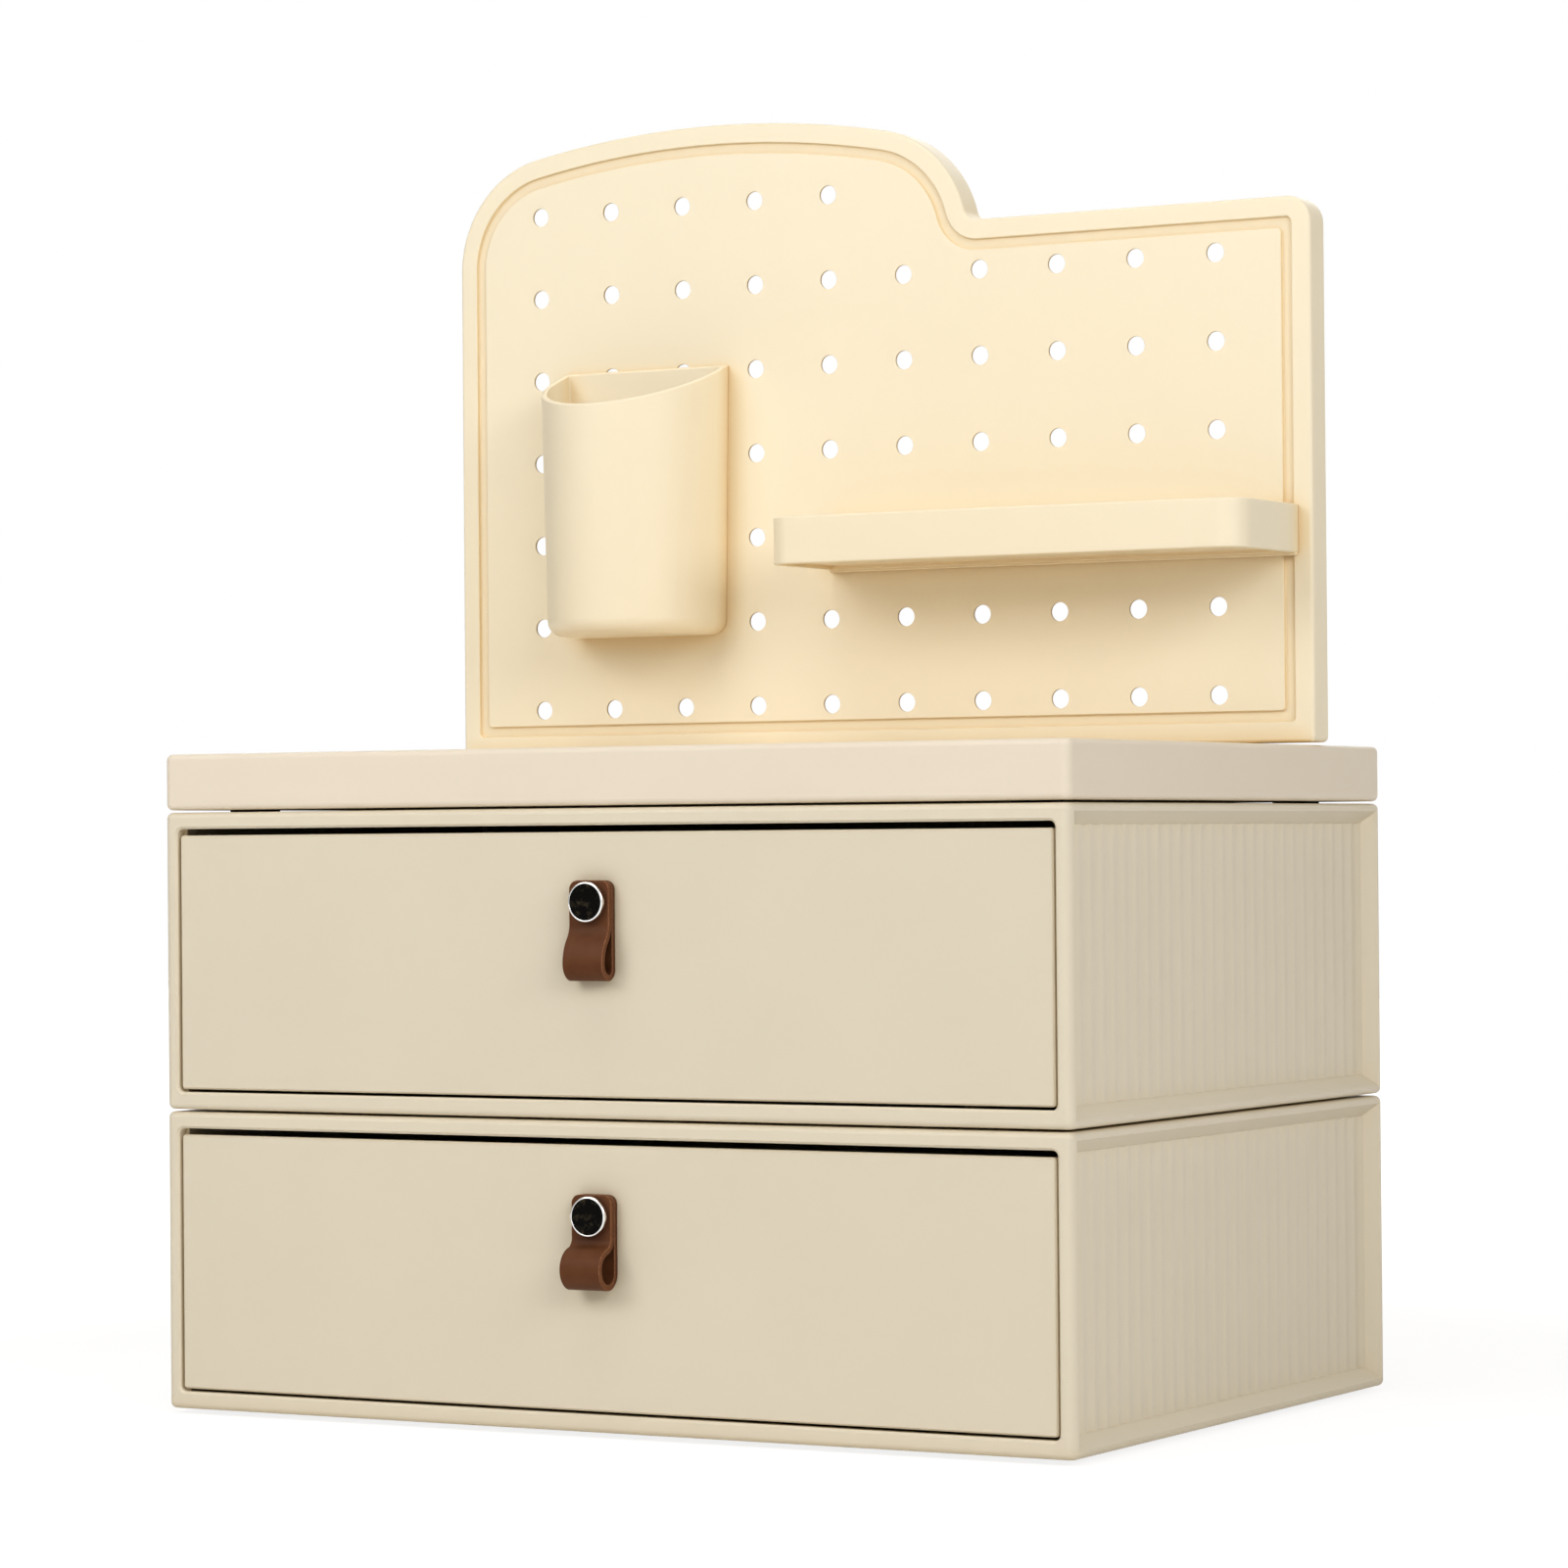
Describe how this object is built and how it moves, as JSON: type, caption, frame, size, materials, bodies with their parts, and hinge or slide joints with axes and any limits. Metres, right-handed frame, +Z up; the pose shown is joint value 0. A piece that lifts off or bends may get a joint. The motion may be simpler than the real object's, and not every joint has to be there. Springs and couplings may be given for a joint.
{
  "type": "pegboard desk organizer with drawers",
  "caption": "Desk organizer of stacked drawer units with leather pulls, a top cover and an upright pegboard that holds a pen cup and a small shelf tray.",
  "frame": {"origin": "middle of the bounding box in plan, on the surface that the lowest feet stand on", "axes": "+X to the right seen from the front, +Y to the back, +Z up; the drawers open towards -Y"},
  "size_m": [0.34, 0.2508, 0.4471],
  "materials": {
    "housing_plastic": "fine matte",
    "drawer_plastic": "fine matte",
    "cover_plastic": "fine matte",
    "board_plastic": "fine matte",
    "foot_rubber": "matte",
    "strap_leather": "smooth, satin",
    "stud_chrome": "polished",
    "inlay_black": "glossy",
    "screw_steel": "satin"
  },
  "bodies": {
    "lower_unit": {"lower_housing": "housing_plastic", "lower_feet": "foot_rubber"},
    "lower_drawer_assembly": {"lower_drawer": "drawer_plastic", "lower_pull_strap": "strap_leather", "lower_stud_cap": "stud_chrome", "lower_stud_inlay": "inlay_black", "lower_stud_screw": "screw_steel"},
    "upper_unit": {"upper_housing": "housing_plastic", "upper_feet": "foot_rubber"},
    "upper_drawer_assembly": {"upper_drawer": "drawer_plastic", "upper_pull_strap": "strap_leather", "upper_stud_cap": "stud_chrome", "upper_stud_inlay": "inlay_black", "upper_stud_screw": "screw_steel"},
    "cover": {"top_cover": "cover_plastic", "cover_feet": "foot_rubber"},
    "board": {"pegboard": "board_plastic"},
    "cup": {"pen_cup": "board_plastic"},
    "shelf": {"shelf_tray": "board_plastic"}
  },
  "joints": [
    {"name": "lower_drawer_slide", "type": "slide", "parent": "lower_unit", "child": "lower_drawer_assembly", "axis": [0, -1, 0], "range_m": [0, 0.18]},
    {"name": "upper_unit_lift", "type": "slide", "parent": "lower_unit", "child": "upper_unit", "axis": [0, 0, 1], "range_m": [0, 0.03]},
    {"name": "upper_drawer_slide", "type": "slide", "parent": "upper_unit", "child": "upper_drawer_assembly", "axis": [0, -1, 0], "range_m": [0, 0.18]},
    {"name": "cover_lift", "type": "slide", "parent": "upper_unit", "child": "cover", "axis": [0, 0, 1], "range_m": [0, 0.03]},
    {"name": "board_lift", "type": "slide", "parent": "cover", "child": "board", "axis": [0, 0, 1], "range_m": [0, 0.025]},
    {"name": "cup_lift", "type": "slide", "parent": "board", "child": "cup", "axis": [0, 0, 1], "range_m": [0, 0.0021]},
    {"name": "shelf_lift", "type": "slide", "parent": "board", "child": "shelf", "axis": [0, 0, 1], "range_m": [0, 0.0021]}
  ]
}
